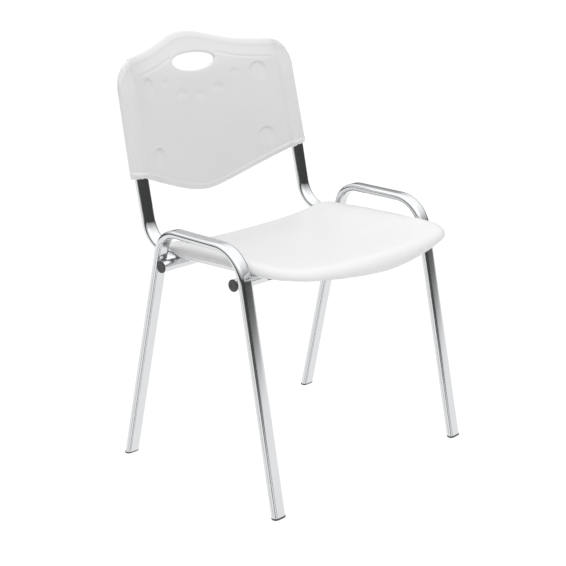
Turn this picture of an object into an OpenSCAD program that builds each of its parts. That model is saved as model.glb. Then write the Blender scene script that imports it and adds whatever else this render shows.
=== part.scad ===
// Stacking chair: chromed flat-oval tube frame with a white moulded seat and backrest.
// Millimetres, +Z up, the sitter faces -Y. The origin is on the floor, in the middle of the chair's box.

/* [Leg frames] */
// Wide side of the flat-oval tube
tube_w = 30; // [26:1:30]
// Narrow side of the flat-oval tube
tube_t = 15; // [13:1:15]
// Wall thickness of every tube
wall = 1.5; // [1:0.1:2]
// Distance between the two leg frames' centre planes at the floor
track = 515; // [515:1:530]
// Lean of each leg frame towards the middle, in degrees
side_lean = 0.83; // [0:0.01:0.83]
// Front feet's distance ahead of the origin
front_foot_y = 247; // [237:1:257]
// Rear feet's distance behind the origin
rear_foot_y = 177; // [168:1:188]
// Rake of the front legs from the vertical, in degrees
front_rake = 11.13; // [10:0.01:12]
// Rake of the rear legs from the vertical, in degrees
rear_rake = 13.66; // [12:0.01:15]
// Height of the leg frame's level top run, at the tube's centre
top_run_z = 490.5; // [488:0.5:500]
// Centre-line radius of the front bend
front_bend_r = 67; // [55:1:70]
// Centre-line radius of the rear bend
rear_bend_r = 52; // [45:1:60]

/* [Rails and crossbars] */
// Distance between the two back rails' centre planes
rail_span = 431; // [425:1:432]
// Slope of the rails under the seat, up towards the front, in degrees
rail_slope = 2.16; // [1:0.01:2.5]
// Front end of the rails ahead of the origin
rail_front_y = 196; // [187:1:200]
// Recline of the uprights from the vertical, in degrees
recline = 11.8; // [10:0.01:13]
// Uprights' distance behind the origin at the backrest's lower corners
upright_y = 164; // [158:1:168]
// Centre-line radius of the bend from rail to upright
rail_bend_r = 60; // [50:1:65]
// Height of the uprights' upper ends, inside the backrest
upright_top_z = 712; // [690:1:714]
// Diameter of the round crossbars
bar_d = 22; // [20:0.5:24]
// Length of a crossbar without its end caps
bar_len = 525; // [520:1:530]
// Height of the rear crossbar's centre
rear_bar_z = 421.2; // [415:0.1:421.4]

/* [Seat] */
// Width of the seat
seat_w = 469; // [466:1:470]
// Front edge of the seat ahead of the origin
seat_front_y = 288; // [280:1:294]
// Rear edge of the seat behind the origin
seat_rear_y = 92; // [84:1:96]
// Height of the seat's side ridges at their highest
ridge_z = 462.4; // [462.2:0.1:470]
// Depth of the dish between the ridges
dish_depth = 15; // [8:1:16]
// Thickness of the seat's wall
seat_wall = 2.5; // [2:0.1:2.6]

/* [Backrest] */
// Width of the backrest
back_w = 478; // [472:1:484]
// Height of the backrest's top edge at its middle
back_top_z = 818; // [812:1:824]
// Height of the backrest's bottom edge at its middle
back_bottom_z = 501; // [495:1:508]
// Thickness of the backrest's wall
back_wall = 5; // [4:0.5:6]
// Width of the handhold
hand_w = 116; // [100:1:120]
// Height of the handhold
hand_h = 38; // [30:1:40]

/* [Hidden] */
$fn = 48;

chrome = "silver";
steel = "gray";
white_plastic = "whitesmoke";
black_plastic = [0.12, 0.12, 0.13];

// The sitter's right is -X and the sitter's left is +X.
right = -1;
left = 1;
front = -1;
rear = 1;

// Clearance between welded neighbours, and between a plug and the tube it fills
weld_gap = 0.08;
plug_gap = 0.15;
plug_depth = 22;
// Thickness of a foot's sole, and of the rim of the other plugs
sole_t = 4;
rim_t = 3;
// How far a sole stands out round its tube
sole_lip = 0.5;
// Crossbar caps: how far the head stands out round the bar, its thickness and its rounding
cap_lip = 0.6;
cap_t = 4;
cap_round = 2;
// Screws: shank, head and cross recess
screw_d = 5;
head_d = 9.5;
head_t = 3;
slot_w = 1.4;
slot_deep = 1.6;
// Depth of the screw holes in the seat's bosses
boss_bore = 14;
// Long enough to cut right through anything nearby
through = 60;
// How much slimmer the tube is round its bends, all round, and how far a straight laps onto a bend
bend_thin = 0.05;
lap = 0.3;

// Crossbar centres: each bar lies against its legs' flat faces and carries the rails on top
bar_to_leg = tube_t / 2 + bar_d / 2 + weld_gap;
bar_to_rail = bar_d / 2 + tube_t / 2 + weld_gap;
rear_bar_y = rear_foot_y - rear_bar_z * tan(rear_rake) - bar_to_leg / cos(rear_rake);
front_bar_z = (rear_bar_z + tan(rail_slope) * (rear_bar_y + front_foot_y - bar_to_leg / cos(front_rake)))
  / (1 + tan(front_rake) * tan(rail_slope));
front_bar_y = -front_foot_y + front_bar_z * tan(front_rake) + bar_to_leg / cos(front_rake);

// Height of the rails' centre line at a place along Y
function rail_z(y) = rear_bar_z + bar_to_rail / cos(rail_slope) + (rear_bar_y - y) * tan(rail_slope);

// Where the uprights' centre line is at a height; upright_ref_z is the backrest's lower corners
upright_ref_z = 570;
function upright_at(z) = upright_y + (z - upright_ref_z) * tan(recline);

// Corner where the centre lines of rail and upright would meet, and the bend between them
rail_turn = 90 - recline + rail_slope;
rail_tangent = rail_bend_r * tan(rail_turn / 2);
corner_y = (upright_y + (rail_z(0) - upright_ref_z) * tan(recline)) / (1 + tan(rail_slope) * tan(recline));
corner_z = rail_z(corner_y);
rail_len = (corner_y + rail_front_y) / cos(rail_slope) - rail_tangent;
upright_len = (upright_top_z - corner_z) / cos(recline) - rail_tangent;

// ---------------------------------------------------------------- oval tube

// Flat-oval outline, wide side across, grown or shrunk by d all round
module oval(d = 0) {
  r = tube_t / 2 + d;
  half_flat = (tube_w - tube_t) / 2;
  union() {
    translate([-half_flat, -r]) square([2 * half_flat, 2 * r]);
    translate([-half_flat, 0]) circle(r);
    translate([half_flat, 0]) circle(r);
  }
}

// Section of the tube: the outline less its hollow, shrunk by d all round
module oval_ring(d = 0) {
  difference() {
    oval(-d);
    oval(-wall - d);
  }
}

// Straight length of tube along +Z
module tube_run(length) {
  linear_extrude(length) oval_ring();
}

// Bend of tube round the Z axis, from the X axis through an angle, in the plane Z = 0
module bend_arc(radius, angle) {
  rotate_extrude(angle = angle, $fn = 96) translate([radius, 0]) rotate(90) oval_ring(bend_thin);
}

// Bend of tube that leaves the origin along +Z and turns towards -Y
module tube_bend(radius, angle) {
  translate([0, -radius, 0]) rotate([90, 0, 90]) bend_arc(radius, angle);
}

// Solid bar of the tube's outline along +Z, grown or shrunk by d
module oval_bar(length, d = 0) {
  linear_extrude(length) oval(d);
}

// ---------------------------------------------------------------- leg frames

// Distance from a leg's foot, along the leg, to the start of its bend
function leg_len(rake, radius) = top_run_z / cos(rake) - radius * tan((90 - rake) / 2);

// How far from the origin the level run stops for a leg's bend
function run_end(foot_y, rake, radius) = foot_y - top_run_z * tan(rake) - radius * tan((90 - rake) / 2);

// Front leg and its bend in the plane X = 0, from the floor up to the level run
module leg_and_bend(foot_y, rake, radius) {
  translate([0, -foot_y, 0])
    rotate([-rake, 0, 0]) {
      translate([0, 0, -tube_t]) tube_run(leg_len(rake, radius) + tube_t + lap);
      translate([0, 0, leg_len(rake, radius)]) mirror([0, 1, 0]) tube_bend(radius, 90 - rake);
    }
}

// Puts something drawn in the plane X = 0 into the leaning plane of one leg frame
module in_frame(side) {
  translate([side * track / 2, 0, 0]) rotate([0, -side * side_lean, 0]) children();
}

// One tube from the front foot over the top to the rear foot
module leg_frame(side) {
  run_front = run_end(front_foot_y, front_rake, front_bend_r);
  run_rear = run_end(rear_foot_y, rear_rake, rear_bend_r);
  color(chrome)
    difference() {
      in_frame(side)
        union() {
          leg_and_bend(front_foot_y, front_rake, front_bend_r);
          translate([0, -run_front - lap, top_run_z]) rotate([-90, 0, 0])
            tube_run(run_front + run_rear + 2 * lap);
          mirror([0, 1, 0]) leg_and_bend(rear_foot_y, rear_rake, rear_bend_r);
        }
      below(sole_t);
    }
}

// Everything below a height
module below(z) {
  translate([-track, -track, z - 2 * through]) cube([2 * track, 2 * track, 2 * through]);
}

// Everything above a height
module above(z) {
  translate([-track, -track, z]) cube([2 * track, 2 * track, 2 * through]);
}

// Foot plug: a sole as wide as the tube, cut level with the floor, and a stem inside the tube
module foot(side, end) {
  foot_y = end == front ? -front_foot_y : rear_foot_y;
  rake = end == front ? -front_rake : rear_rake;
  color(black_plastic)
    difference() {
      union() {
        difference() {
          in_frame(side) translate([0, foot_y, 0]) rotate([rake, 0, 0])
            translate([0, 0, -plug_depth]) oval_bar(2 * plug_depth, sole_lip);
          above(sole_t);
        }
        in_frame(side) translate([0, foot_y, 0]) rotate([rake, 0, 0])
          translate([0, 0, -plug_depth]) oval_bar(2 * plug_depth, -wall - plug_gap);
      }
      below(0);
    }
}

// ---------------------------------------------------------------- rails with uprights

// Moves to the start of one rail's bend, with +Z along the rail towards the back and -Y up
module at_rail_bend(side) {
  translate([
    side * rail_span / 2,
    corner_y - rail_tangent * cos(rail_slope),
    corner_z + rail_tangent * sin(rail_slope)
  ])
    rotate([-90 - rail_slope, 0, 0]) children();
}

// Moves from the start of a rail's bend to its end, with +Z up along the upright
module at_upright() {
  translate([0, -rail_bend_r * (1 - cos(rail_turn)), rail_bend_r * sin(rail_turn)])
    rotate([rail_turn, 0, 0]) children();
}

// One tube, drawn round the bend's centre: the bend, the rail before it and the upright after it
module back_rail(side) {
  color(chrome)
    difference() {
      at_rail_bend(side) translate([0, -rail_bend_r, 0]) rotate([90, 0, 90])
        union() {
          bend_arc(rail_bend_r, rail_turn);
          translate([rail_bend_r, lap, 0]) rotate([90, 0, 0]) rotate(90) tube_run(rail_len + lap);
          rotate(rail_turn) translate([rail_bend_r, -lap, 0]) rotate([-90, 0, 0]) rotate(90)
            tube_run(upright_len + lap);
        }
      backrest_screw_holes(side, screw_d + 0.2);
    }
}

// Plug for the open end of an oval tube: a rim that covers the end at Z = 0 and a stem below it
module oval_plug() {
  color(black_plastic)
    union() {
      oval_bar(rim_t, 0);
      translate([0, 0, -plug_depth]) oval_bar(plug_depth + rim_t / 2, -wall - plug_gap);
    }
}

module rail_plug(side) {
  at_rail_bend(side) translate([0, 0, -rail_len]) mirror([0, 0, 1]) oval_plug();
}

module upright_plug(side) {
  at_rail_bend(side) at_upright() translate([0, 0, upright_len]) oval_plug();
}

// ---------------------------------------------------------------- crossbars

module crossbar(y, z) {
  color(chrome)
    difference() {
      translate([-bar_len / 2, y, z]) rotate([0, 90, 0])
        difference() {
          cylinder(h = bar_len, d = bar_d);
          translate([0, 0, -1]) cylinder(h = bar_len + 2, d = bar_d - 2 * wall);
        }
      seat_screw_places() translate([0, 0, -through]) cylinder(h = 2 * through, d = screw_d + 0.6);
    }
}

// Round cap: a rounded head over the bar's end and a stem inside it
module bar_cap(side, y, z) {
  head_r = bar_d / 2 + cap_lip;
  color(black_plastic)
    translate([side * bar_len / 2, y, z]) rotate([0, side * 90, 0])
      union() {
        cylinder(h = cap_t - cap_round, r = head_r);
        translate([0, 0, cap_t - cap_round]) rotate_extrude()
          intersection() {
            union() {
              translate([head_r - cap_round, 0]) circle(cap_round);
              square([head_r - cap_round, cap_round]);
            }
            square([head_r, cap_round]);
          }
        translate([0, 0, -plug_depth]) cylinder(h = plug_depth + 1, d = bar_d - 2 * wall - 2 * plug_gap);
      }
}

// ---------------------------------------------------------------- seat

// Plan of the seat's +X half, from the front middle round to the rear middle. Each entry is
// [x, y, outward x, outward y]: half the bowed front edge, the front corner, a straight side, the rear
// corner and half the rear edge. The front edge's arc and the front corner's arc are tangent.
half_seat = seat_w / 2;
front_arc_r = 682;
front_corner_r = 72;
seat_corner_r = 36;
front_steps = 7;
front_corner_steps = 8;
side_steps = 8;
corner_steps = 6;
rear_steps = 6;
front_corner_x = half_seat - front_corner_r;
front_corner_y = front_arc_r - seat_front_y
  - sqrt(pow(front_arc_r - front_corner_r, 2) - pow(front_corner_x, 2));
front_arc = asin(front_corner_x / (front_arc_r - front_corner_r));
side_end_y = seat_rear_y - seat_corner_r;
function unit(v) = v / norm(v);
half_plan = [
  for (i = [0:front_steps - 1])
    let (a = front_arc * i / front_steps)
      [front_arc_r * sin(a), front_arc_r * (1 - cos(a)) - seat_front_y, sin(a), -cos(a)],
  for (i = [0:front_corner_steps - 1])
    let (a = front_arc + (90 - front_arc) * i / front_corner_steps)
      [front_corner_x + front_corner_r * sin(a), front_corner_y - front_corner_r * cos(a), sin(a), -cos(a)],
  for (i = [0:side_steps - 1])
    [half_seat, front_corner_y + (side_end_y - front_corner_y) * i / side_steps, 1, 0],
  for (i = [0:corner_steps - 1])
    let (a = 90 * i / corner_steps)
      [
        half_seat - seat_corner_r + seat_corner_r * cos(a),
        side_end_y + seat_corner_r * sin(a),
        cos(a),
        sin(a)
      ],
  for (i = [0:rear_steps])
    [(half_seat - seat_corner_r) * (1 - i / rear_steps), seat_rear_y, 0, 1]
];
half_count = len(half_plan);
plan = concat(
  half_plan,
  [for (i = [half_count - 2:-1:1]) let (p = half_plan[i]) [-p[0], p[1], -p[2], p[3]]]
);
plan_count = len(plan);

// Height of the side ridges along Y, and depth of the dish between them
ridge_peak_y = -145;
function ridge(y) = ridge_z - 8 * pow(max(0, y - ridge_peak_y) / 230, 2);
function dish(y) = dish_depth * (0.3 + 0.7 * smooth((y + seat_front_y) / 250)) - 1.5 * smooth((y - 38) / 54);
function smooth(t) = let (u = min(1, max(0, t))) u * u * (3 - 2 * u);
ridge_x = 206;
function seat_height(x, y) = ridge(y) - dish(y) * (1 - pow(min(1, abs(x) / ridge_x), 3));

// The edge rolls over by a quarter ellipse: how far in it starts
function roll_in(p) = 18 + (p[3] < 0 ? 12 : -8) * p[3] * p[3];

// Heights of the hem: along the front it hangs lowest at the middle, along a side it sinks towards the
// back, and from hem_lift_y backwards it sweeps up to a shallow rear edge
front_hem_z = 430.5;
side_hem_z = 448;
hem_peak_y = -110;
hem_lift_y = 28;
rear_drop = 6;
function front_hem(x) = front_hem_z + (side_hem_z - front_hem_z) * pow(min(1, abs(x) / 215), 1.5);
function side_hem(y) = side_hem_z - 9.3 * pow(max(0, y - hem_peak_y) / 138, 2);

// How far the edge hangs below the seat's surface at a place of the plan
function roll_down(p) =
  let (lift = smooth((p[1] - hem_lift_y) / 50))
    p[3] < 0 ? seat_height(p[0], p[1]) - front_hem(p[0])
    : (seat_height(p[0], p[1]) - side_hem(min(p[1], hem_lift_y))) * (1 - lift) + rear_drop * lift;

roll_steps = 6;
fill_steps = 8;
seat_middle = [0, -95];

// Point of the seat's skin over plan place p at roll angle a, sunk into the wall by depth
function roll_point(p, a, depth) =
  let (
    inset = roll_in(p) * (1 - sin(a)),
    x = p[0] - inset * p[2],
    y = p[1] - inset * p[3],
    z = seat_height(x, y) - roll_down(p) * (1 - cos(a)),
    n = unit([sin(a) / roll_in(p), cos(a) / roll_down(p)])
  )
    [x - depth * n[0] * p[2], y - depth * n[0] * p[3], z - depth * n[1]];

// Point of the seat's skin between the roll's inner edge (k = 1) and the middle (k = 0)
function fill_point(p, k, depth) =
  let (
    x = seat_middle[0] + k * (p[0] - roll_in(p) * p[2] - seat_middle[0]),
    y = seat_middle[1] + k * (p[1] - roll_in(p) * p[3] - seat_middle[1])
  )
    [x, y, seat_height(x, y) - depth];

// One side of the seat's wall, from its edge to its middle
function seat_skin(depth) = concat(
  [for (i = [roll_steps:-1:0]) for (p = plan) roll_point(p, 90 * i / roll_steps, depth)],
  [for (i = [fill_steps - 1:-1:1]) for (p = plan) fill_point(p, i / fill_steps, depth)],
  [[seat_middle[0], seat_middle[1], seat_height(seat_middle[0], seat_middle[1]) - depth]]
);
ring_count = roll_steps + fill_steps;
skin_size = ring_count * plan_count + 1;

// Faces of one skin; flip turns them over for the underside
function skin_faces(first, flip) = concat(
  [for (r = [0:ring_count - 2]) for (i = [0:plan_count - 1])
    let (
      a = first + r * plan_count + i,
      b = first + r * plan_count + (i + 1) % plan_count,
      face = [a, b, b + plan_count, a + plan_count]
    )
      flip ? face : [face[3], face[2], face[1], face[0]]],
  [for (i = [0:plan_count - 1])
    let (
      a = first + (ring_count - 1) * plan_count + i,
      b = first + (ring_count - 1) * plan_count + (i + 1) % plan_count,
      c = first + skin_size - 1
    )
      flip ? [a, b, c] : [c, b, a]]
);

module seat_skin_solid() {
  polyhedron(
    points = concat(seat_skin(0), seat_skin(seat_wall)),
    faces = concat(
      skin_faces(0, false),
      skin_faces(skin_size, true),
      [for (i = [0:plan_count - 1])
        let (j = (i + 1) % plan_count) [i, j, skin_size + j, skin_size + i]]
    ),
    convexity = 6
  );
}

// Where the seat's screws stand: two on each crossbar, at the crossbar's centre
seat_screw_x = 150;
module seat_screw_places() {
  for (x = [-seat_screw_x, seat_screw_x]) {
    translate([x, front_bar_y, front_bar_z]) children();
    translate([x, rear_bar_y, rear_bar_z]) children();
  }
}

boss_d = 18;
boss_above_bar = 0.1;
module seat_shell() {
  color(white_plastic)
    difference() {
      union() {
        seat_skin_solid();
        for (x = [-seat_screw_x, seat_screw_x]) {
          seat_boss(x, front_bar_y, front_bar_z);
          seat_boss(x, rear_bar_y, rear_bar_z);
        }
      }
      seat_screw_places() translate([0, 0, bar_d / 2 - 1]) cylinder(h = boss_bore, d = screw_d + 0.1);
    }
}

// Boss from just above a crossbar up into the seat's wall
module seat_boss(x, y, z) {
  foot_z = z + bar_d / 2 + boss_above_bar;
  translate([x, y, foot_z]) cylinder(h = seat_height(x, y) - seat_wall / 2 - foot_z - 1, d = boss_d);
}

// ---------------------------------------------------------------- backrest

half_back = back_w / 2;
back_columns = 18;
back_rows = 22;

// Bottom and top edges: the bottom is a blunt V, the top a low bell between two rounded corners
function back_bottom(x) =
  min(back_bottom_z + sqrt(pow(23, 2) + pow(0.412 * x, 2)) - 23, back_bottom_z + 61 + 0.15 * (abs(x) - 195));
shoulder_z = 729;
shoulder_r = [50, 60];
function back_top(x) =
  let (
    bell = back_top_z - 29 * (1 - exp(-pow(x / 95, 2))),
    past = abs(x) - (half_back - shoulder_r[0])
  )
    past <= 0 ? bell
    : shoulder_z + (bell - shoulder_z) * sqrt(max(0, 1 - pow(past / shoulder_r[0], 2)));

// Depth of the front face behind the uprights' centre line. It bows back between the uprights, more so
// towards the top and the bottom, and above a crease it leans back further.
crease_below_top = 35;
channel_edge_x = 197;
channel_depth = 10.5;
function bow(z) = 36.8 + 0.0005 * pow(max(0, 691 - z), 2) + 0.0042 * pow(max(0, z - 727), 2);
function bowed(x, c) = c - (c + 3) * pow(min(abs(x), channel_edge_x) / channel_edge_x, 2);
function panel_depth(x, z) =
  let (
    crease = back_top(min(abs(x), half_back - shoulder_r[0])) - crease_below_top,
    over = max(0, z - crease),
    fade = max(0, 1 - pow(x / 230, 4))
  )
    bowed(x, bow(min(z, crease))) + 0.42 * over * fade;

// How far a face draws back within r of an edge, by a quarter circle of depth d
function draw_back(e, r, d) = e >= r ? 0 : d * (1 - sqrt(1 - pow(1 - max(0, e) / r, 2)));
hem_r = 11;
function edge_gap(x, z) = min(z - back_bottom(x), back_top(x) - z);

// Half thickness of the sleeve round an upright, a flat oval round the tube's; it goes negative over
// the panel, so that the panel's own face is the one that stands out there
function sleeve(x, depth) =
  let (
    u = abs(x) - rail_span / 2,
    v = max(0, abs(u) - (tube_w - tube_t) / 2),
    reach = u < 0 ? 11 : 16.6
  )
    v > reach ? 3 * (reach - v) : depth * sqrt(1 - pow(v / reach, 2));
// Past the panel's edge its own faces close up quickly, so that only the sleeve is left
function past_panel(x) = 3 * max(0, abs(x) - channel_edge_x);
function sleeve_depth(z) = channel_depth - 5.5 * smooth((z - upright_top_z - 10) / 20);
function front_depth_at(x, z) =
  min(panel_depth(x, z) + past_panel(x), -sleeve(x, sleeve_depth(z))) + draw_back(edge_gap(x, z), hem_r, 4);
function rear_depth_at(x, z) =
  let (
    hem = 2.5 * (1 - smooth((edge_gap(x, z) - 6) / 12)),
    hand_rim = 4 * smooth(3 * (1.3 - norm([x / 60, (z - hand_z + 5) / 19]))),
    panel = panel_depth(x, z) + back_wall + hem + hand_rim - past_panel(x)
  )
    max(panel, sleeve(x, sleeve_depth(z))) - draw_back(edge_gap(x, z), hem_r, 2);

// The backrest narrows a little towards its top
narrowing = 0.019;
function narrowed(x, z) = x * (1 - narrowing * min(1, max(0, (z - 575) / 150)));

function back_point(i, j, rear) =
  let (
    x = half_back * sin(90 * i / back_columns),
    t = (1 - cos(180 * j / back_rows)) / 2,
    z = back_bottom(x) * (1 - t) + back_top(x) * t,
    depth = rear ? rear_depth_at(x, z) : front_depth_at(x, z)
  )
    [narrowed(x, z), upright_at(z) + depth, z];

row_size = back_rows + 1;
column_count = 2 * back_columns + 1;
back_skin_size = row_size * column_count;
function back_skin(rear) =
  [for (i = [-back_columns:back_columns]) for (j = [0:back_rows]) back_point(i, j, rear)];
function back_faces(first, flip) =
  [for (i = [0:column_count - 2]) for (j = [0:back_rows - 1])
    let (
      a = first + i * row_size + j,
      face = [a, a + 1, a + row_size + 1, a + row_size]
    )
      flip ? [face[3], face[2], face[1], face[0]] : face];

// Outline of the grid, once round, as indexes into the front skin
back_rim = concat(
  [for (j = [0:back_rows - 1]) j],
  [for (i = [0:column_count - 2]) i * row_size + back_rows],
  [for (j = [back_rows:-1:1]) (column_count - 1) * row_size + j],
  [for (i = [column_count - 1:-1:1]) i * row_size]
);

module backrest_solid() {
  polyhedron(
    points = concat(back_skin(false), back_skin(true)),
    faces = concat(
      back_faces(0, false),
      back_faces(back_skin_size, true),
      [for (k = [0:len(back_rim) - 1])
        let (a = back_rim[k], b = back_rim[(k + 1) % len(back_rim)])
          [b, a, a + back_skin_size, b + back_skin_size]]
    ),
    convexity = 8
  );
}

// Handhold: an ellipse cut square to the leaning panel
hand_z = 762;
hand_lean = 24;
hand_steps = 40;
module handhold() {
  translate([0, upright_at(hand_z) + bow(hand_z), hand_z]) rotate([90 - hand_lean, 0, 0])
    translate([0, 0, -through])
      linear_extrude(2 * through)
        polygon([for (i = [0:hand_steps - 1])
          let (a = 360 * i / hand_steps) [hand_w / 2 * cos(a), hand_h / 2 * sin(a)]]);
}

// Room for one upright and its plug inside the backrest's side channel
pocket_gap = 0.3;
module upright_pocket(side) {
  at_rail_bend(side) at_upright() oval_bar(upright_len + rim_t + 1, pocket_gap);
}

// Distances of the two backrest screws below the upright's upper end
back_screw_down = [24, 124];

// Screw places at one upright: the origin at its rear face, +Z pointing backwards
module backrest_screw_places(side) {
  for (down = back_screw_down)
    at_rail_bend(side) at_upright()
      translate([0, tube_t / 2, upright_len - down]) rotate([-90, 0, 0]) children();
}

module backrest_screw_holes(side, d) {
  backrest_screw_places(side) translate([0, 0, -tube_t / 2]) cylinder(h = through, d = d);
}

module backrest_shell() {
  color(white_plastic)
    difference() {
      backrest_solid();
      handhold();
      upright_pocket(right);
      upright_pocket(left);
      backrest_screw_holes(right, screw_d + 0.4);
      backrest_screw_holes(left, screw_d + 0.4);
    }
}

// ---------------------------------------------------------------- screws

// Pan-head screw with its shank along -Z and its head from Z = 0 upwards, with a cross recess
module screw(length) {
  color(steel)
    difference() {
      union() {
        translate([0, 0, -length]) cylinder(h = length + 1, d = screw_d);
        cylinder(h = head_t, d = head_d);
      }
      for (turn = [0, 90])
        rotate(turn) translate([-head_d / 4, -slot_w / 2, head_t - slot_deep])
          cube([head_d / 2, slot_w, slot_deep + 1]);
    }
}

module seat_screws() {
  seat_screw_places()
    translate([0, 0, -bar_d / 2 - 0.1]) mirror([0, 0, 1]) screw(bar_d + 10);
}

module backrest_screws() {
  for (side = [right, left])
    backrest_screw_places(side) translate([0, 0, channel_depth - tube_t / 2 + 0.1]) screw(10);
}

// ---------------------------------------------------------------- assembly

leg_frame(right);  // leg_frame_right
leg_frame(left);  // leg_frame_left
back_rail(right);  // back_rail_right
back_rail(left);  // back_rail_left
crossbar(front_bar_y, front_bar_z);  // front_crossbar
crossbar(rear_bar_y, rear_bar_z);  // rear_crossbar
bar_cap(right, front_bar_y, front_bar_z);  // front_bar_cap_right
bar_cap(left, front_bar_y, front_bar_z);  // front_bar_cap_left
bar_cap(right, rear_bar_y, rear_bar_z);  // rear_bar_cap_right
bar_cap(left, rear_bar_y, rear_bar_z);  // rear_bar_cap_left
foot(right, front);  // foot_front_right
foot(left, front);  // foot_front_left
foot(right, rear);  // foot_rear_right
foot(left, rear);  // foot_rear_left
rail_plug(right);  // rail_plug_right
rail_plug(left);  // rail_plug_left
upright_plug(right);  // upright_plug_right
upright_plug(left);  // upright_plug_left
seat_shell();
seat_screws();
backrest_shell();
backrest_screws();
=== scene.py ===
"""Stacking chair: the looks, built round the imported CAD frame.

Metres, +Z up, the sitter faces -Y. Shapes are worked out in millimetres in the CAD's own frame and
then settled on the box of the CAD node they replace.
"""

import math

import bmesh
import bpy
from mathutils import Matrix, Vector


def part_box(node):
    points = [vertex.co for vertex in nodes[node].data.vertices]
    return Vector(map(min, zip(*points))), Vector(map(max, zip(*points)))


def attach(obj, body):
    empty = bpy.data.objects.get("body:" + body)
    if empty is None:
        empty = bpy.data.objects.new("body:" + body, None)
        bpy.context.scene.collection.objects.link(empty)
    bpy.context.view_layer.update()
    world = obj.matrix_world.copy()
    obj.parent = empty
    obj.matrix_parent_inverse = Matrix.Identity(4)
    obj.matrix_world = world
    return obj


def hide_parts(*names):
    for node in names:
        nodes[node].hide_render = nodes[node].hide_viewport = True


MM = 0.001
LEFT, RIGHT = 1, -1
SIDES = {"left": LEFT, "right": RIGHT}

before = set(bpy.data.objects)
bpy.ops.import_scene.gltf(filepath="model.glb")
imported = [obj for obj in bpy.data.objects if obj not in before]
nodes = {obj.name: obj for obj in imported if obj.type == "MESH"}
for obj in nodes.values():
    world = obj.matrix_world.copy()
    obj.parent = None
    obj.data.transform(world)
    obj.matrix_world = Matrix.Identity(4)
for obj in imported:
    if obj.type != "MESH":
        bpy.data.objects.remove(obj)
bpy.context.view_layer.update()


# ------------------------------------------------------------------ small maths


def smooth(t):
    t = min(1.0, max(0.0, t))
    return t * t * (3 - 2 * t)


def span(start, end, count):
    """count + 1 numbers from start to end."""
    return [start + (end - start) * i / count for i in range(count + 1)]


def sin_deg(a):
    return math.sin(math.radians(a))


def cos_deg(a):
    return math.cos(math.radians(a))


def tan_deg(a):
    return math.tan(math.radians(a))


def centre_mm(node):
    low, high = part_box(node)
    return (low + high) / 2 / MM


# ------------------------------------------------------------------ materials


class Recipe:
    """A node material with its Principled shader and short ways to add procedural detail."""

    def __init__(self, name, color, metallic, roughness):
        self.material = bpy.data.materials.new(name)
        self.material.use_nodes = True
        self.tree = self.material.node_tree
        self.shader = self.tree.nodes["Principled BSDF"]
        self.shader.inputs["Base Color"].default_value = (*color, 1)
        self.shader.inputs["Metallic"].default_value = metallic
        self.shader.inputs["Roughness"].default_value = roughness
        self.place = self.tree.nodes.new("ShaderNodeTexCoord").outputs["Object"]

    def node(self, kind, **inputs):
        made = self.tree.nodes.new(kind)
        for key, value in inputs.items():
            socket = made.inputs[key.replace("_", " ")]
            if isinstance(value, bpy.types.NodeSocket):
                self.tree.links.new(value, socket)
            else:
                socket.default_value = value
        return made

    def noise(self, scale, detail=3.0, stretch=(1, 1, 1)):
        """Noise over the piece; scale is in waves per metre, and stretch draws it out along an axis."""
        place = self.node("ShaderNodeMapping", Vector=self.place, Scale=stretch).outputs["Vector"]
        return self.node("ShaderNodeTexNoise", Vector=place, Scale=scale, Detail=detail).outputs["Fac"]

    def between(self, factor, low, high):
        """A number that runs from low to high as the factor runs over the noise's usual range."""
        made = self.node("ShaderNodeMapRange", Value=factor, To_Min=low, To_Max=high)
        made.inputs["From Min"].default_value = 0.3
        made.inputs["From Max"].default_value = 0.7
        return made.outputs["Result"]

    def tint(self, factor, dark, light):
        """Base colour between two close shades."""
        mix = self.tree.nodes.new("ShaderNodeMix")
        mix.data_type = "RGBA"
        self.tree.links.new(factor, mix.inputs["Factor"])
        for socket in mix.inputs:
            if socket.type == "RGBA":
                shade = dark if socket.name == "A" else light
                socket.default_value = (*shade, 1)
        colour = next(socket for socket in mix.outputs if socket.type == "RGBA")
        self.tree.links.new(colour, self.shader.inputs["Base Color"])

    def bump(self, height, distance, strength):
        made = self.node("ShaderNodeBump", Height=height, Distance=distance, Strength=strength)
        self.tree.links.new(made.outputs["Normal"], self.shader.inputs["Normal"])

    def rough(self, factor, low, high):
        self.tree.links.new(self.between(factor, low, high), self.shader.inputs["Roughness"])

    def add(self, a, b, share):
        """a plus a share of b."""
        scaled = self.node("ShaderNodeMath")
        scaled.operation = "MULTIPLY_ADD"
        self.tree.links.new(b, scaled.inputs[0])
        scaled.inputs[1].default_value = share
        self.tree.links.new(a, scaled.inputs[2])
        return scaled.outputs["Value"]


def white_plastic():
    """Moulded polypropylene: satin, with a fine grain, slight sinks and faint clouding."""
    recipe = Recipe("white_plastic", (0.80, 0.80, 0.80), 0, 0.38)
    cloud = recipe.noise(9, 3)
    grain = recipe.noise(2600, 2)
    recipe.tint(cloud, (0.775, 0.775, 0.775), (0.815, 0.815, 0.815))
    recipe.rough(recipe.add(cloud, grain, 0.5), 0.30, 0.44)
    recipe.bump(recipe.add(grain, recipe.noise(55, 2), 3.0), 0.00005, 0.35)
    recipe.shader.inputs["Specular IOR Level"].default_value = 0.45
    return recipe.material


def chrome():
    """Bright chrome plate: near mirror, with faint draw lines along the tube and a little haze."""
    recipe = Recipe("chrome", (0.70, 0.71, 0.72), 1, 0.06)
    haze = recipe.noise(14, 4)
    lines = recipe.noise(900, 3, (1, 1, 0.03))
    recipe.tint(haze, (0.68, 0.69, 0.70), (0.73, 0.74, 0.75))
    recipe.rough(recipe.add(haze, lines, 0.4), 0.035, 0.10)
    recipe.bump(recipe.add(lines, recipe.noise(60, 2), 1.5), 0.00002, 0.25)
    return recipe.material


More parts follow.
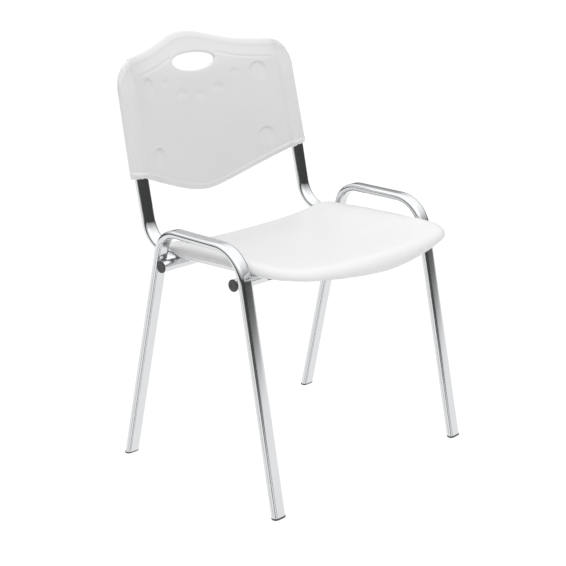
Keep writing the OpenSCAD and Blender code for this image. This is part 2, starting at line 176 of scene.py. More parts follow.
def weld_chrome():
    """Chrome plate over a weld bead: uneven and duller."""
    recipe = Recipe("weld_chrome", (0.80, 0.80, 0.81), 1, 0.16)
    ripple = recipe.noise(700, 4)
    recipe.tint(ripple, (0.70, 0.70, 0.71), (0.85, 0.85, 0.86))
    recipe.rough(ripple, 0.10, 0.26)
    recipe.bump(ripple, 0.0003, 0.6)
    return recipe.material


def black_plastic():
    """Black moulded plugs and caps: matt, with a fine spark-eroded grain."""
    recipe = Recipe("black_plastic", (0.055, 0.055, 0.057), 0, 0.5)
    grain = recipe.noise(3200, 3)
    cloud = recipe.noise(120, 2)
    recipe.tint(cloud, (0.048, 0.048, 0.050), (0.064, 0.064, 0.066))
    recipe.rough(grain, 0.40, 0.62)
    recipe.bump(grain, 0.00006, 0.5)
    return recipe.material


def screw_steel():
    """Zinc-plated screw heads: fine turning marks and a mottled plate."""
    recipe = Recipe("screw_steel", (0.55, 0.55, 0.54), 1, 0.3)
    mottle = recipe.noise(900, 4)
    recipe.tint(mottle, (0.48, 0.48, 0.47), (0.62, 0.62, 0.60))
    recipe.rough(mottle, 0.22, 0.42)
    recipe.bump(recipe.noise(5000, 2), 0.00004, 0.4)
    return recipe.material


FINISHES = {
    "chromed_tube": chrome(),
    "white_plastic": white_plastic(),
    "black_plastic": black_plastic(),
    "screw_steel": screw_steel(),
}
WELD = weld_chrome()


# ------------------------------------------------------------------ meshes


def loft(rings, wrap=False):
    """Points and faces of a skin over equal rings, capped at both ends or wrapped back to the first."""
    size = len(rings[0])
    points = [p for ring in rings for p in ring]
    faces = []
    for r in range(len(rings) if wrap else len(rings) - 1):
        a, b = r * size, (r + 1) % len(rings) * size
        faces += [(a + i, a + (i + 1) % size, b + (i + 1) % size, b + i) for i in range(size)]
    if not wrap:
        faces.append(tuple(range(size)))
        faces.append(tuple(range(len(points) - size, len(points))))
    return points, faces


def join(*shapes):
    """Several point and face lists as one."""
    points, faces = [], []
    for more_points, more_faces in shapes:
        start = len(points)
        points += more_points
        faces += [tuple(start + i for i in face) for face in more_faces]
    return points, faces


def settle(shape, node):
    """The shape, moved so that the middle of its box is the middle of the CAD node's box."""
    points, faces = shape
    middle = Vector([(min(c) + max(c)) / 2 for c in zip(*points)])
    move = centre_mm(node) - middle
    return [Vector(p) + move for p in points], faces


def add_piece(name, shape, slot, replaces=(), material=None, angle=35):
    """A closed, smooth-shaded piece on the chair's one body, from a shape in millimetres."""
    points, faces = shape
    mesh = bpy.data.meshes.new(name)
    mesh.from_pydata([Vector(p) * MM for p in points], [], faces)
    work = bmesh.new()
    work.from_mesh(mesh)
    bmesh.ops.remove_doubles(work, verts=work.verts, dist=0.00001)
    bmesh.ops.recalc_face_normals(work, faces=work.faces)
    work.to_mesh(mesh)
    work.free()
    mesh.shade_smooth()
    mesh.set_sharp_from_angle(angle=math.radians(angle))
    mesh.materials.append(material or FINISHES[slot])
    piece = bpy.data.objects.new(name, mesh)
    bpy.context.scene.collection.objects.link(piece)
    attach(piece, "root")
    if replaces:
        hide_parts(*replaces)


# ------------------------------------------------------------------ flat-oval tubes

TUBE_W, TUBE_T, WALL = 30.0, 15.0, 1.5
SOLE = 4.0
TRACK, SIDE_LEAN = 515.0, 0.83
FRONT_RAKE, REAR_RAKE = 11.13, 13.66
FRONT_FOOT_Y, REAR_FOOT_Y = 247.0, 177.0
TOP_RUN_Z = 490.5
FRONT_BEND, REAR_BEND = 67.0, 52.0
RAIL_SPAN, RAIL_SLOPE, RAIL_BEND = 431.0, 2.16, 60.0
RECLINE = 11.8


def oval(grow=0.0, arc=16, flat=6):
    """Outline of the flat-oval tube, wide side first; its flats bow out by a hair as drawn tube does."""
    radius = TUBE_T / 2 + grow
    half = (TUBE_W - TUBE_T) / 2
    points = []
    for turn in (0, 1):
        sign = 1 - 2 * turn
        for i in range(arc + 1):
            a = math.pi * (i / arc - 0.5)
            points.append((sign * (half + radius * math.cos(a)), sign * radius * math.sin(a)))
        for i in range(1, flat):
            u = half * (1 - 2 * i / flat)
            points.append((sign * u, sign * (radius + 0.10 * (1 - (u / half) ** 2))))
    return points


class Path:
    """A bent centre line in a plane of Y and Z. Headings are in degrees from +Z towards +Y."""

    def __init__(self, y, z, heading):
        self.stops = [(y, z, heading)]

    def straight(self, length):
        y, z, h = self.stops[-1]
        for part in (0.02, 0.35, 0.65, 0.98, 1.0):
            d = length * part
            self.stops.append((y + d * sin_deg(h), z + d * cos_deg(h), h))
        return self

    def bend(self, radius, turn):
        """Turn by an angle, positive from +Z towards +Y, along an arc."""
        y, z, h = self.stops[-1]
        hand = math.copysign(radius, turn)
        cy, cz = y + hand * cos_deg(h), z - hand * sin_deg(h)
        steps = max(8, round(abs(turn) / 2))
        for i in range(1, steps + 1):
            g = h + turn * i / steps
            self.stops.append((cy - hand * cos_deg(g), cz + hand * sin_deg(g), g))
        return self

    def rings(self, outline, x=0.0):
        """The outline at each stop, wide side across X."""
        return [
            [(x + u, y - v * cos_deg(h), z + v * sin_deg(h)) for u, v in outline]
            for y, z, h in self.stops
        ]


def cut_level(ring, heading, z):
    """The ring slid along its heading onto a level plane."""
    return [(x, y + (z - pz) * tan_deg(heading), z) for x, y, pz in ring]


def leg_path():
    front_tangent = FRONT_BEND * tan_deg((90 - FRONT_RAKE) / 2)
    rear_tangent = REAR_BEND * tan_deg((90 - REAR_RAKE) / 2)
    run = FRONT_FOOT_Y + REAR_FOOT_Y - TOP_RUN_Z * (tan_deg(FRONT_RAKE) + tan_deg(REAR_RAKE))
    path = Path(-FRONT_FOOT_Y, 0, FRONT_RAKE)
    path.straight(TOP_RUN_Z / cos_deg(FRONT_RAKE) - front_tangent).bend(FRONT_BEND, 90 - FRONT_RAKE)
    path.straight(run - front_tangent - rear_tangent).bend(REAR_BEND, 90 - REAR_RAKE)
    return path.straight(TOP_RUN_Z / cos_deg(REAR_RAKE) - rear_tangent)


def lean(points, side):
    """Points drawn in the plane X = 0, put into one leg frame's leaning plane."""
    turn = Matrix.Rotation(math.radians(-side * SIDE_LEAN), 3, "Y")
    return [turn @ Vector(p) + Vector((side * TRACK / 2, 0, 0)) for p in points]


def leg_tube():
    path = leg_path()
    skins = []
    for grow in (0, -WALL):
        rings = path.rings(oval(grow))
        rings[0] = cut_level(rings[0], FRONT_RAKE, SOLE)
        rings[-1] = cut_level(rings[-1], -REAR_RAKE, SOLE)
        rings[1] = cut_level(rings[1], FRONT_RAKE, SOLE + 12)
        rings[-2] = cut_level(rings[-2], -REAR_RAKE, SOLE + 12)
        skins.append(rings)
    return loft(skins[0] + skins[1][::-1], wrap=True)


def foot_plug(heading):
    """Sole with a rounded lower edge and a small lip, and the stem that fills the tube above it."""
    profile = [(-2.2, 0), (-0.9, 0.15), (-0.1, 0.7), (0.35, 1.5), (0.5, 2.2), (0.5, 3.4)]
    profile += [(0.25, 3.85), (-0.4, 4.02), (-1.7, 4.04), (-1.7, 22)]
    rings = []
    for grow, z in profile:
        ring = [(u, -v / cos_deg(heading), z) for u, v in oval(grow)]
        rings.append([(x, y + z * tan_deg(heading), z) for x, y, z in ring])
    return loft(rings)


def rail_path(front_y, front_z, rail_len, upright_len):
    path = Path(front_y, front_z, 90 + RAIL_SLOPE).straight(rail_len)
    return path.bend(RAIL_BEND, RECLINE - 90 - RAIL_SLOPE).straight(upright_len)


def plug_on(path_stop, outward):
    """Rim with a rounded edge over an open tube end, and a stem inside.

    outward is +1 or -1 along the heading.
    """
    y, z, h = path_stop
    profile = [(-1.7, -20), (-1.7, -0.3), (-0.2, 0.0), (0.0, 0.3), (0.0, 1.7), (-0.3, 2.5)]
    profile += [(-1.0, 2.9), (-2.4, 3.0), (-5.0, 3.0)]
    rings = []
    for grow, out in profile:
        d = out * outward
        stop = Path(y + d * sin_deg(h), z + d * cos_deg(h), h)
        rings += stop.rings(oval(grow))
    return loft(rings)


def build_leg_frames():
    for name, side in SIDES.items():
        points, faces = leg_tube()
        add_piece(f"leg_frame_{name}_tube", settle((lean(points, side), faces), f"leg_frame_{name}"),
                  "chromed_tube", [f"leg_frame_{name}"])
        for end, foot_y, heading in (("front", -FRONT_FOOT_Y, FRONT_RAKE), ("rear", REAR_FOOT_Y, -REAR_RAKE)):
            points, faces = foot_plug(heading)
            points = [(x, y + foot_y, z) for x, y, z in points]
            node = f"foot_{end}_{name}"
            shape = settle((lean(points, side), faces), node)
            low = min(p[2] for p in shape[0])
            shape = [p - Vector((0, 0, low)) for p in shape[0]], faces
            add_piece(f"{node}_plug", shape, "black_plastic", [node])


def rail_stops():
    """Centre line of a back rail, from the CAD's box of it: front end, bend and upper end."""
    low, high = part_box("back_rail_left")
    front = low.y / MM + TUBE_T / 2 * sin_deg(RAIL_SLOPE)
    top = high.z / MM - TUBE_T / 2 * sin_deg(RECLINE)
    lowest = low.z / MM
    trial = rail_path(0, 0, 100, 100)
    bottom = min(p[2] for ring in trial.rings(oval()) for p in ring)
    start_z = lowest - bottom
    end_z = rail_path(0, start_z, 100, 0).stops[-1][1]
    upright_len = (top - end_z) / cos_deg(RECLINE)
    reach = max(p[1] for ring in rail_path(0, start_z, 100, upright_len).rings(oval()) for p in ring)
    extra = (high.y / MM - front - reach) / cos_deg(RAIL_SLOPE)
    start_z += extra * sin_deg(RAIL_SLOPE)
    return rail_path(front, start_z, 100 + extra, upright_len)


def build_back_rails():
    path = rail_stops()
    for name, side in SIDES.items():
        x = side * RAIL_SPAN / 2
        shape = loft(path.rings(oval(), x) + path.rings(oval(-WALL), x)[::-1], wrap=True)
        add_piece(f"back_rail_{name}_tube", shape, "chromed_tube", [f"back_rail_{name}"])
        for end, stop, outward in (("rail", path.stops[0], -1), ("upright", path.stops[-1], 1)):
            points, faces = plug_on(stop, outward)
            shape = [(px + x, y, z) for px, y, z in points], faces
            node = f"{end}_plug_{name}"
            add_piece(f"{node}_moulding", shape, "black_plastic", [node])


# ------------------------------------------------------------------ crossbars

BAR_D = 22.0


def turned(profile, count=72):
    """Rings turned round the X axis from a profile of (x, radius)."""
    angles = [2 * math.pi * i / count for i in range(count)]
    return [[(x, r * math.cos(a), r * math.sin(a)) for a in angles] for x, r in profile]


def build_crossbars():
    for bar in ("front", "rear"):
        low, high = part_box(f"{bar}_crossbar")
        half = (high.x - low.x) / 2 / MM
        outer = turned([(x, BAR_D / 2) for x in span(-half, half, 24)])
        inner = turned([(x, BAR_D / 2 - WALL) for x in span(half, -half, 24)])
        add_piece(f"{bar}_crossbar_tube", settle(loft(outer + inner, wrap=True), f"{bar}_crossbar"),
                  "chromed_tube", [f"{bar}_crossbar"])
        for name, side in SIDES.items():
            node = f"{bar}_bar_cap_{name}"
            head = BAR_D / 2 + 0.6
            profile = [(-22, 9.3), (-0.3, 9.3), (0.02, 9.8), (0.05, head - 0.4), (0.4, head), (1.6, head)]
            for a in (15, 30, 45, 60, 75, 90):
                profile.append((1.6 + 2.4 * sin_deg(a), head - 2.4 * (1 - cos_deg(a))))
            profile += [(4.05, 6.0), (4.0, 4.4), (3.5, 3.9), (3.4, 2.0), (3.4, 0.3)]
            rings = turned(profile, 56)
            rings = [[(side * x, y, z) for x, y, z in ring] for ring in rings]
            add_piece(f"{node}_moulding", settle(loft(rings), node), "black_plastic", [node])


# ------------------------------------------------------------------ seat

SEAT_W, SEAT_FRONT, SEAT_REAR = 469.0, 288.0, 92.0
RIDGE_Z, DISH = 462.4, 15.0
SEAT_WALL = 2.5
RIDGE_X, RIDGE_PEAK_Y = 206.0, -145.0
FRONT_ARC_R, FRONT_CORNER_R, REAR_CORNER_R = 682.0, 72.0, 36.0
FRONT_HEM, SIDE_HEM, HEM_PEAK_Y, HEM_LIFT_Y, REAR_DROP = 430.5, 448.0, -110.0, 28.0, 6.0
SEAT_MIDDLE = (0.0, -95.0)


def unit(x, y):
    size = math.hypot(x, y)
    return x / size, y / size


def seat_plan():
    """Outline of the seat seen from above, once round, with the outward direction at each point."""
    half = SEAT_W / 2
    corner_x = half - FRONT_CORNER_R
    reach = FRONT_ARC_R - FRONT_CORNER_R
    corner_y = FRONT_ARC_R - SEAT_FRONT - math.sqrt(reach**2 - corner_x**2)
    arc = math.degrees(math.asin(corner_x / reach))
    side_end = SEAT_REAR - REAR_CORNER_R
    plan = []
    for a in span(0, arc, 26)[:-1]:
        plan.append((FRONT_ARC_R * sin_deg(a), FRONT_ARC_R * (1 - cos_deg(a)) - SEAT_FRONT,
                     sin_deg(a), -cos_deg(a)))
    for a in span(arc, 90, 28)[:-1]:
        plan.append((corner_x + FRONT_CORNER_R * sin_deg(a), corner_y - FRONT_CORNER_R * cos_deg(a),
                     sin_deg(a), -cos_deg(a)))
    for y in span(corner_y, side_end, 34)[:-1]:
        plan.append((half, y, 1.0, 0.0))
    for a in span(0, 90, 20)[:-1]:
        plan.append((half - REAR_CORNER_R * (1 - cos_deg(a)), side_end + REAR_CORNER_R * sin_deg(a),
                     cos_deg(a), sin_deg(a)))
    for x in span(half - REAR_CORNER_R, 0, 24):
        plan.append((x, SEAT_REAR, 0.0, 1.0))
    return plan + [(-x, y, -nx, ny) for x, y, nx, ny in plan[-2:0:-1]]


def ridge(y):
    return RIDGE_Z - 8 * (max(0, y - RIDGE_PEAK_Y) / 230) ** 2


def dish(y):
    return DISH * (0.3 + 0.7 * smooth((y + SEAT_FRONT) / 250)) - 1.5 * smooth((y - 38) / 54)


def soft_limit(t, soft=0.03):
    """t held below 1 with a rounded corner."""
    return t - soft * math.log1p(math.exp((t - 1) / soft))


def seat_height(x, y):
    return ridge(y) - dish(y) * (1 - soft_limit(abs(x) / RIDGE_X) ** 3)


def roll_in(ny):
    return 18 + (12 if ny < 0 else -8) * ny * ny


def hem_height(x, y, ny):
    """Height of the seat's lower edge: low at the front middle, sinking along each side, lifted behind."""
    if ny < 0:
        return FRONT_HEM + (SIDE_HEM - FRONT_HEM) * min(1, abs(x) / 215) ** 1.5
    side = SIDE_HEM - 9.3 * (max(0, min(y, HEM_LIFT_Y) - HEM_PEAK_Y) / 138) ** 2
    lift = smooth((y - HEM_LIFT_Y) / 50)
    return seat_height(x, y) - (seat_height(x, y) - side) * (1 - lift) - REAR_DROP * lift


def roll_point(p, a, sunk):
    """Point of the seat's rolled edge at an angle, 0 on top and 90 at the hem, sunk into the wall."""
    x, y, nx, ny = p
    reach, drop = roll_in(ny), seat_height(x, y) - hem_height(x, y, ny)
    inset = reach * (1 - sin_deg(a))
    px, py = x - inset * nx, y - inset * ny
    out, up = unit(sin_deg(a) / reach, cos_deg(a) / drop)
    height = seat_height(px, py) - drop * (1 - cos_deg(a)) - sunk * up
    return px - sunk * out * nx, py - sunk * out * ny, height


def fill_point(p, k, sunk):
    x, y, nx, ny = p
    inset = roll_in(ny)
    px = SEAT_MIDDLE[0] + k * (x - inset * nx - SEAT_MIDDLE[0])
    py = SEAT_MIDDLE[1] + k * (y - inset * ny - SEAT_MIDDLE[1])
    return px, py, seat_height(px, py) - sunk


def seat_skin(sunk):
    """Rings from the hem to the middle."""
    plan = seat_plan()
    rings = [[roll_point(p, a, sunk) for p in plan] for a in span(90, 0, 18)]
    rings += [[fill_point(p, k, sunk) for p in plan] for k in span(1, 0.02, 44)[1:]]
    return rings


def hem_rings(outer, inner, steps=6):
    """Half-round lower edge between the two skins."""
    rings = []
    for i in range(1, steps):
        a = math.pi * i / steps
        ring = []
        for p, q in zip(outer, inner):
            p, q = Vector(p), Vector(q)
            half = (p - q) / 2
            ring.append((p + q) / 2 + half * math.cos(a) - Vector((0, 0, half.length)) * math.sin(a))
        rings.append(ring)
    return rings


def seat_boss(x, y, foot_z):
    """Screw boss: a hollow pillar with a flared root under the seat's wall."""
    top = seat_height(x, y) - SEAT_WALL / 2
    profile = [(foot_z + 9, 2.6), (foot_z, 2.6), (foot_z, 8.5), (foot_z + 0.5, 9.0)]
    profile += [(top - 6, 9.2), (top - 3, 9.8), (top - 1.5, 10.8), (top - 0.4, 13), (top, 15)]
    rings = []
    for z, r in profile:
        rings.append([(x + r * cos_deg(7.5 * i), y + r * sin_deg(7.5 * i), z) for i in range(48)])
    return loft(rings)


def build_seat():
    outer, inner = seat_skin(0), seat_skin(SEAT_WALL)
    rings = outer[::-1] + hem_rings(outer[0], inner[0]) + inner
    shell = settle(loft(rings), "seat_shell")
    bosses = []
    for bar in ("front", "rear"):
        middle = centre_mm(f"{bar}_crossbar")
        for x in (-150, 150):
            bosses.append(seat_boss(x, middle.y, middle.z + BAR_D / 2 + 0.2))
    add_piece("seat_moulding", join(shell, *bosses), "white_plastic", ["seat_shell"], angle=50)


# ------------------------------------------------------------------ backrest

BACK_W, BACK_TOP, BACK_BOTTOM = 478.0, 818.0, 501.0
BACK_WALL = 5.0
UPRIGHT_Y, UPRIGHT_REF, UPRIGHT_TOP = 164.0, 570.0, 712.0
SHOULDER_Z, SHOULDER_X = 729.0, 50.0
CREASE_DROP = 35.0
CHANNEL_X, CHANNEL_DEPTH = 197.0, 10.5
SLEEVE_INNER, SLEEVE_OUTER = 11.0, 16.2
NARROWING = 0.019
HAND_W, HAND_H, HAND_Z, HAND_LEAN = 116.0, 38.0, 762.0, 24.0


def upright_at(z):
    return UPRIGHT_Y + (z - UPRIGHT_REF) * tan_deg(RECLINE)


def back_bottom(x):
    x = abs(x)
    return min(BACK_BOTTOM + math.hypot(23, 0.412 * x) - 23, BACK_BOTTOM + 61 + 0.15 * (x - 195))


def back_top(x):
    x = abs(x)
    bell = BACK_TOP - 29 * (1 - math.exp(-((x / 95) ** 2)))
    past = x - (BACK_W / 2 - SHOULDER_X)
    if past <= 0:
        return bell
    return SHOULDER_Z + (bell - SHOULDER_Z) * math.sqrt(max(0, 1 - (past / SHOULDER_X) ** 2))


def bow(z):
    return 36.8 + 0.0005 * max(0, 691 - z) ** 2 + 0.0042 * max(0, z - 727) ** 2


def panel_depth(x, z):
    """How far the panel's front lies behind the uprights' centre line."""
    crease = back_top(min(abs(x), BACK_W / 2 - SHOULDER_X)) - CREASE_DROP
    over = 2 * math.log1p(math.exp(min(60, (z - crease) / 2)))
    under = z - over
    fade = max(0, 1 - (x / 230) ** 4)
    c = bow(under)
    beside = smooth((abs(x) - 58) / 8) * smooth((190 - abs(x)) / 12)
    line = 1.2 * beside * ripple(z - crease, 1.9)
    return c - (c + 3) * (min(abs(x), CHANNEL_X) / CHANNEL_X) ** 2 + 0.42 * over * fade + line


def ripple(offset, width):
    """A smooth ridge of height 1 about offset 0."""
    return math.exp(-((offset / width) ** 2))


def sleeve(x, depth):
    """Half thickness of the sleeve round an upright; it goes negative over the panel."""
    u = abs(x) - RAIL_SPAN / 2
    v = max(0, abs(u) - (TUBE_W - TUBE_T) / 2)
    reach = SLEEVE_INNER if u < 0 else SLEEVE_OUTER
    if v > reach:
        return 3 * (reach - v)
    return depth * math.sqrt(1 - (v / reach) ** 2)


def soft_min(a, b, soft=0.5):
    """The lesser of a and b, with the corner between them rounded."""
    low, gap = min(a, b), abs(a - b)
    return low - soft * math.log1p(math.exp(-min(60, gap / soft)))


def draw_back(gap, reach, depth):
    """How far a face rounds away within reach of an edge."""
    if gap >= reach:
        return 0.0
    return depth * (1 - math.sqrt(max(0, 1 - (1 - max(0, gap) / reach) ** 2)))


def recess(x, z, at_x, at_z, wide, tall, depth, rim=0.16):
    """A scooped oval hollow, on both sides of the middle: deepest just under its upper rim."""
    up = (z - at_z) / (tall / 2)
    r = math.hypot((abs(x) - at_x) / (wide / 2), up)
    return depth * smooth((1.06 - r) / rim) * (0.55 + 0.45 * max(-1, min(1, up)))


def hollows(x, z):
    """Shallow oval marks across the panel and round hollows near its four corners."""
    return (
        recess(x, z, 0, 691.5, 34, 21, 3.0, 0.35) + recess(x, z, 50.8, 701.7, 34, 20, 3.0, 0.35)
        + recess(x, z, 96.7, 728, 24, 17, 2.4, 0.35)
        + recess(x, z, 153, 727, 38, 38, 4.2, 0.2) + recess(x, z, 149, 592, 38, 38, 4.2, 0.2)
    )


def edges(x, z):
    """How far the front draws back along the rolled top edge and the beaded bottom hem."""
    low, high = z - back_bottom(x), back_top(x) - z
    top = draw_back(high, 9, 4) - 0.7 * ripple(high - 10, 3)
    hem = draw_back(low, 9, 6) - 1.5 * ripple(low - 10, 2.4) + 0.5 * ripple(low - 15, 2)
    return top + hem


def past_panel(x):
    """Past the panel's edge its own faces close up quickly, so that only the sleeve is left."""
    return 3 * max(0, abs(x) - CHANNEL_X)


def sleeve_depth(z):
    """Half thickness of a sleeve at a height; it slims down above the upright's end."""
    return CHANNEL_DEPTH - 5.5 * smooth((z - UPRIGHT_TOP - 3) / 62)


def back_front(x, z):
    """Depth of the front face behind the uprights' centre line."""
    lines = 1.5 * ripple(abs(x) - 230, 2.2) + 1.1 * ripple(abs(x) - 212, 2.2)
    face = soft_min(panel_depth(x, z) + past_panel(x), -sleeve(x, sleeve_depth(z)))
    return face + lines + edges(x, z) + hollows(x, z)


def back_rear(x, z):
    """Depth of the rear face, which the sleeves, the hems and the handhold's rim stand out from."""
    low, high = z - back_bottom(x), back_top(x) - z
    hem = 2.5 * (1 - smooth((min(low, high) - 6) / 12))
    rim = 4 * smooth(3 * (1.3 - math.hypot(x / 60, (z - 757) / 19)))
    panel = panel_depth(x, z) + BACK_WALL + hem + rim - past_panel(x)
    return -soft_min(-panel, -sleeve(x, sleeve_depth(z))) - draw_back(min(low, high), 9, 2.5)


def back_place(x, z, rear):
    """Point of the front or rear face over a place across and up; the backrest narrows upwards."""
    narrowed = x * (1 - NARROWING * min(1, max(0, (z - 575) / 150)))
    return narrowed, upright_at(z) + (back_rear(x, z) if rear else back_front(x, z)), z


BACK_COLUMNS, BACK_ROWS = 90, 140
HOLE_COLUMNS, HOLE_ROWS = 32, (84, 129)


def back_grid(i, j):
    """Place of a grid point, across for i from -BACK_COLUMNS to BACK_COLUMNS, up for j to BACK_ROWS."""
    s = i / BACK_COLUMNS
    x = BACK_W / 2 * math.copysign(0.55 * abs(s) + 0.45 * sin_deg(90 * abs(s)), s)
    t = (1 - cos_deg(180 * j / BACK_ROWS)) / 2
    t = 0.5 * t + 0.5 * j / BACK_ROWS
    return x, back_bottom(x) * (1 - t) + back_top(x) * t


def hole_border():
    """Grid places round the patch that holds the handhold, once round."""
    c, (low, high) = HOLE_COLUMNS, HOLE_ROWS
    around = [(c, j) for j in range(low, high)] + [(i, high) for i in range(c, -c, -1)]
    around += [(-c, j) for j in range(high, low, -1)] + [(i, low) for i in range(-c, c)]
    return around


def hand_place(angle, grow, rear):
    """Place on a face, across and up, over the handhold's oval grown all round."""
    u, w = (HAND_W / 2 + grow) * cos_deg(angle), (HAND_H / 2 + grow) * sin_deg(angle)
    axis_y = upright_at(HAND_Z) + bow(HAND_Z)
    z = HAND_Z + w * cos_deg(HAND_LEAN)
    for _ in range(12):
        y = back_place(u, z, rear)[1]
        z = HAND_Z + (w - (y - axis_y) * sin_deg(HAND_LEAN)) / cos_deg(HAND_LEAN)
    return u, z


def hand_angles():
    """Angle round the handhold for each border place, so that the patch's lines don't cross."""
    angles = []
    for i, j in hole_border():
        x, z = back_grid(i, j)
        angles.append(math.degrees(math.atan2((z - 758) / 0.62, x)))
    return angles


def face_rings(rear):
    """Rings from the patch's border to the handhold's rim, then over the rim's rounding."""
    border = [back_grid(i, j) for i, j in hole_border()]
    angles = hand_angles()
    round_r = 2.0 if rear else 4.0
    rims = [hand_place(a, round_r, rear) for a in angles]
    rings = []
    for k in span(0, 1, 12)[1:]:
        ring = []
        for (bx, bz), (rx, rz) in zip(border, rims):
            x, z = bx + (rx - bx) * k, bz + (rz - bz) * k
            ring.append(back_place(x, z, rear))
        rings.append(ring)
    inward = Vector((0, cos_deg(HAND_LEAN), -sin_deg(HAND_LEAN))) * (-1 if rear else 1)
    for a in (18, 36, 54, 72, 90):
        ring = []
        for angle in angles:
            place = back_place(*hand_place(angle, round_r * (1 - sin_deg(a)), rear), rear)
            ring.append(Vector(place) + inward * round_r * (1 - cos_deg(a)))
        rings.append(ring)
    return rings


def back_skin(rear):
    """Points and faces of one face of the backrest, less the handhold's patch."""
    points = [back_place(*back_grid(i, j), rear) for i in range(-BACK_COLUMNS, BACK_COLUMNS + 1)
              for j in range(BACK_ROWS + 1)]
    row = BACK_ROWS + 1
    low, high = HOLE_ROWS
    faces = []
    for i in range(-BACK_COLUMNS, BACK_COLUMNS):
        for j in range(BACK_ROWS):
            if -HOLE_COLUMNS <= i < HOLE_COLUMNS and low <= j < high:
                continue
            a = (i + BACK_COLUMNS) * row + j
            faces.append((a, a + 1, a + row + 1, a + row))
    return points, faces


def back_edge():
    """Grid places along the backrest's outline, once round."""
    c, r = BACK_COLUMNS, BACK_ROWS
    around = [(-c, j) for j in range(r)] + [(i, r) for i in range(-c, c)]
    return around + [(c, j) for j in range(r, 0, -1)] + [(i, 0) for i in range(c, -c, -1)]


def build_backrest():
    """One moulding. Its sleeves are drawn solid, and the uprights run up inside them."""
    border = [back_place(*back_grid(i, j), False) for i, j in hole_border()]
    rear_border = [back_place(*back_grid(i, j), True) for i, j in hole_border()]
    tunnel_rings = [border] + face_rings(False) + face_rings(True)[::-1] + [rear_border]
    tunnel = loft(tunnel_rings)
    tunnel = tunnel[0], tunnel[1][:-2]
    front = [back_place(*back_grid(i, j), False) for i, j in back_edge()]
    rear = [back_place(*back_grid(i, j), True) for i, j in back_edge()]
    rim = loft([front, rear])
    rim = rim[0], rim[1][:-2]
    shell = settle(join(back_skin(False), back_skin(True), tunnel, rim), "backrest_shell")
    add_piece("backrest_moulding", shell, "white_plastic", ["backrest_shell"], angle=55)


# ------------------------------------------------------------------ welds and screws


def weld_bead(start, end, radius, seed):
    """A lumpy bead along a line."""
    start, end = Vector(start), Vector(end)
    along = (end - start).normalized()
    across = along.orthogonal().normalized()
    other = along.cross(across)
    rings = []
    count = 26
    for i in range(count + 1):
        t = i / count
        swell = math.sqrt(max(0.02, 1 - (2 * t - 1) ** 4)) * (1 + 0.10 * math.sin(seed + 21 * t))
        ring = []
        for k in range(16):
            a = 2 * math.pi * k / 16
            outward = (across * math.cos(a) + other * math.sin(a)) * radius * swell
            ring.append(start + (end - start) * t + outward)
        rings.append(ring)
    return loft(rings)


def build_welds():
    beads = []
    for bar, rake, sign in (("front", FRONT_RAKE, 1), ("rear", -REAR_RAKE, -1)):
        middle = centre_mm(f"{bar}_crossbar")
        for side in (LEFT, RIGHT):
            rail_x = side * RAIL_SPAN / 2
            leg_x = side * (TRACK / 2 - middle.z * tan_deg(SIDE_LEAN))
            top = middle.z + BAR_D / 2
            for edge in (-1, 1):
                y, z = middle.y + edge * 4.6, top - 0.3
                beads.append(weld_bead((rail_x - 6, y, z), (rail_x + 6, y, z), 1.9, rail_x + edge))
                y = middle.y - sign * (BAR_D / 2 - 0.4) * cos_deg(rake) + edge * 4.4 * tan_deg(rake)
                z = middle.z + edge * 4.4
                beads.append(weld_bead((leg_x - 7, y, z), (leg_x + 7, y, z), 2.0, leg_x - edge))
    add_piece("weld_beads", join(*beads), "chromed_tube", material=WELD, angle=60)


build_leg_frames()
build_back_rails()
build_crossbars()
build_seat()
build_backrest()
build_welds()

for node in ("seat_screws", "backrest_screws"):
    nodes[node].data.materials.clear()
    nodes[node].data.materials.append(FINISHES["screw_steel"])


# ------------------------------------------------------------------ studio

# Brightness of the room by the height of the direction looked in, from straight down to straight up
SKY = ((-1, 0.76), (-0.10, 0.76), (-0.08, 0.48), (-0.05, 0.12), (0.0, 0.04), (0.16, 0.05), (0.24, 0.28),
       (0.34, 0.42), (0.52, 0.75), (0.70, 1.0), (1, 1.0))
SKY_STRENGTH = 1.38
# Low dark screens round the room: the compass angle each one stands at, and its half width
SCREENS = ((-78, 5), (-124, 8), (178, 5))


def make_camera():
    """Long lens about 2.9 m away, at the photograph's viewing angle."""
    azimuth, pitch, roll = (math.radians(a) for a in (-45.007, 17.818, -0.478))
    across = Vector((math.cos(azimuth), math.sin(azimuth), 0))
    level = Vector((math.sin(azimuth), -math.cos(azimuth), 0))
    back = level * math.cos(pitch) + Vector((0, 0, math.sin(pitch)))
    up = back.cross(across)
    axes = (
        math.cos(roll) * across + math.sin(roll) * up,
        -math.sin(roll) * across + math.cos(roll) * up,
        back,
    )
    data = bpy.data.cameras.new("camera")
    data.lens = 89.76
    data.sensor_width = 36
    data.clip_end = 60
    camera = bpy.data.objects.new("camera", data)
    camera.matrix_world = Matrix.Translation((-1.9059, -1.9119, 1.2081)) @ Matrix(axes).transposed().to_4x4()
    bpy.context.scene.collection.objects.link(camera)
    bpy.context.scene.camera = camera


def add_screens(tree, split, sky):
    """The room's brightness with the dark screens standing in it, below eye level."""
    def maths(operation, a, b=0.0):
        step = tree.nodes.new("ShaderNodeMath")
        step.operation = operation
        for socket, value in zip(step.inputs, (a, b)):
            if isinstance(value, float):
                socket.default_value = value
            else:
                tree.links.new(value, socket)
        return step.outputs["Value"]

    compass = maths("ARCTAN2", split.outputs["Y"], split.outputs["X"])
    lit = sky
    low = maths("LESS_THAN", split.outputs["Z"], -0.02)
    for angle, half in SCREENS:
        aside = maths("ABSOLUTE", maths("SUBTRACT", compass, math.radians(angle)))
        behind = maths("MULTIPLY", maths("LESS_THAN", aside, math.radians(half)), low)
        lit = maths("MULTIPLY", lit, maths("SUBTRACT", 1.0, maths("MULTIPLY", behind, 0.9)))
    return lit


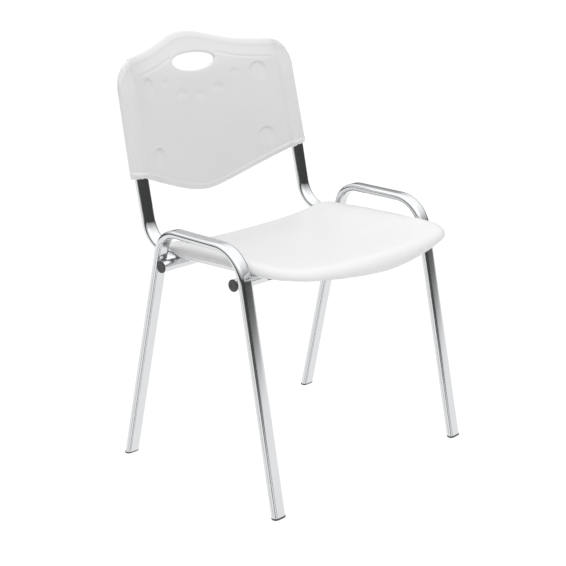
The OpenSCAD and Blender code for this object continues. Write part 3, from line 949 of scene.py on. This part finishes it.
def make_world():
    """White surround for the camera. The chair itself stands in a soft studio: a bright ceiling, a dark
    band at eye level that the chrome picks up, and pale paper that fades out below the horizon."""
    world = bpy.data.worlds.new("studio")
    world.use_nodes = True
    tree = world.node_tree
    room = tree.nodes["Background"]
    paper = tree.nodes.new("ShaderNodeBackground")
    paper.inputs["Color"].default_value = (1, 1, 1, 1)
    paper.inputs["Strength"].default_value = 1.05
    place = tree.nodes.new("ShaderNodeTexCoord")
    split = tree.nodes.new("ShaderNodeSeparateXYZ")
    ramp = tree.nodes.new("ShaderNodeValToRGB")
    scale = tree.nodes.new("ShaderNodeMapRange")
    scale.inputs["From Min"].default_value = -1
    tree.links.new(place.outputs["Generated"], split.inputs["Vector"])
    tree.links.new(split.outputs["Z"], scale.inputs["Value"])
    tree.links.new(scale.outputs["Result"], ramp.inputs["Fac"])
    stops = ramp.color_ramp.elements
    stops[0].position = 0.0
    stops[0].color = (SKY[0][1],) * 3 + (1,)
    stops[1].position = 1.0
    stops[1].color = (SKY[-1][1],) * 3 + (1,)
    for height, grey in SKY[1:-1]:
        stop = stops.new((height + 1) / 2)
        stop.color = (grey, grey, grey, 1)
    tree.links.new(add_screens(tree, split, ramp.outputs["Color"]), room.inputs["Color"])
    room.inputs["Strength"].default_value = SKY_STRENGTH
    path = tree.nodes.new("ShaderNodeLightPath")
    mix = tree.nodes.new("ShaderNodeMixShader")
    tree.links.new(path.outputs["Is Camera Ray"], mix.inputs["Fac"])
    tree.links.new(room.outputs["Background"], mix.inputs[1])
    tree.links.new(paper.outputs["Background"], mix.inputs[2])
    tree.links.new(mix.outputs["Shader"], tree.nodes["World Output"].inputs["Surface"])
    bpy.context.scene.world = world


def area_light(name, at, target, size, watts):
    data = bpy.data.lights.new(name, "AREA")
    data.shape = "RECTANGLE"
    data.size, data.size_y = size
    data.energy = watts
    light = bpy.data.objects.new(name, data)
    light.location = at
    light.rotation_euler = (Vector(target) - Vector(at)).to_track_quat("-Z", "Y").to_euler()
    bpy.context.scene.collection.objects.link(light)


def make_floor():
    """Plain white paper, lit from within so that shadows on it stay faint, and left out of reflections."""
    bpy.ops.mesh.primitive_circle_add(vertices=128, radius=2.3, fill_type="NGON")
    floor = bpy.context.object
    floor.name = "floor"
    material = bpy.data.materials.new("floor_paper")
    material.use_nodes = True
    shader = material.node_tree.nodes["Principled BSDF"]
    shader.inputs["Base Color"].default_value = (0.10, 0.10, 0.10, 1)
    shader.inputs["Roughness"].default_value = 1.0
    shader.inputs["Specular IOR Level"].default_value = 0.0
    shader.inputs["Emission Color"].default_value = (1, 1, 1, 1)
    shader.inputs["Emission Strength"].default_value = 0.96
    floor.data.materials.append(material)
    floor.visible_glossy = False


make_camera()
make_world()
make_floor()
area_light("key", (-0.6, -2.2, 3.2), (0, 0, 0.5), (1.6, 1.6), 10)
bpy.context.scene.view_settings.view_transform = "Standard"
